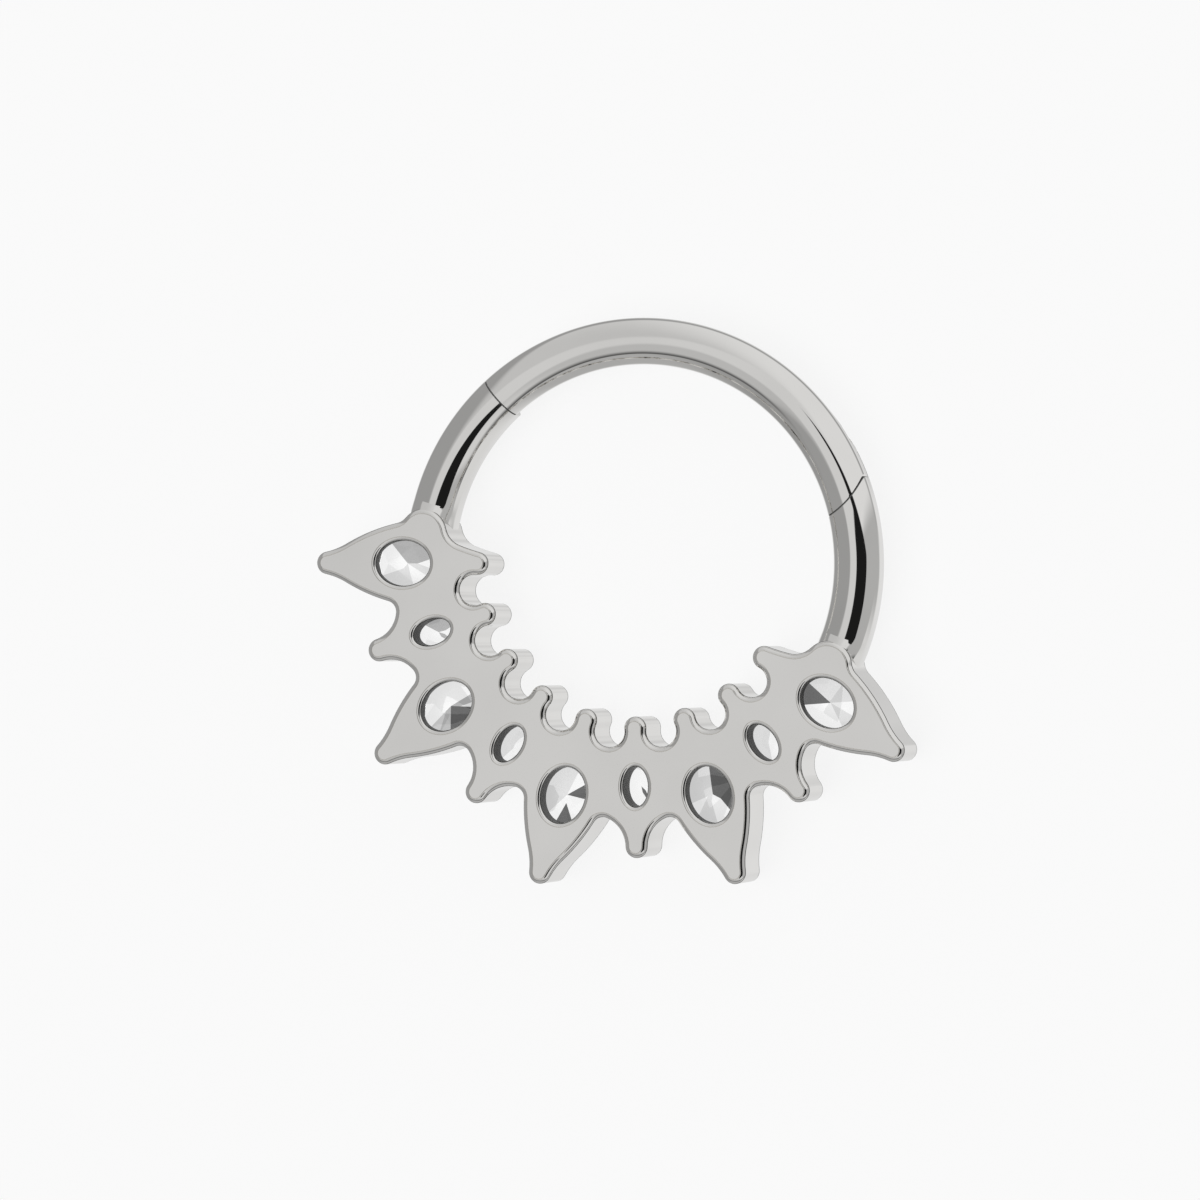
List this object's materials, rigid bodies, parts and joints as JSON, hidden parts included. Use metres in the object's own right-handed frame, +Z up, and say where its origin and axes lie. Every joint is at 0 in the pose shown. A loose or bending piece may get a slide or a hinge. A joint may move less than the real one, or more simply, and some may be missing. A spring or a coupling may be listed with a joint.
{
  "type": "hinged clicker ring",
  "caption": "Hinged body jewellery ring: a pierced, pointed plate set with oval stones joins two tube ends, and a tube segment swings open on a pin.",
  "frame": {"origin": "on the floor, under the middle of the ring's outline, with the ring lying flat on its decorated face", "axes": "+Z up, out of the plate's polished back; +Y from the plate across to the hinged segment; +X to the hinge side"},
  "size_m": [0.016, 0.0146, 0.0018],
  "materials": {
    "ring_metal": "mirror-polished pale steel",
    "clear_stone": "clear faceted stone, table and pavilion polished"
  },
  "bodies": {
    "body": {"ring_body": "ring_metal", "large_stone_1": "clear_stone", "large_stone_2": "clear_stone", "large_stone_3": "clear_stone", "large_stone_4": "clear_stone", "large_stone_5": "clear_stone", "small_stone_1": "clear_stone", "small_stone_2": "clear_stone", "small_stone_3": "clear_stone", "small_stone_4": "clear_stone"},
    "segment": {"clicker_segment": "ring_metal", "hinge_pin": "ring_metal"}
  },
  "joints": [
    {"name": "segment_hinge", "type": "hinge", "parent": "body", "child": "segment", "pos_m": [0.00393, 0.00509, 0.0007], "axis": [0, 0, -1], "range_deg": [0, 90]}
  ]
}
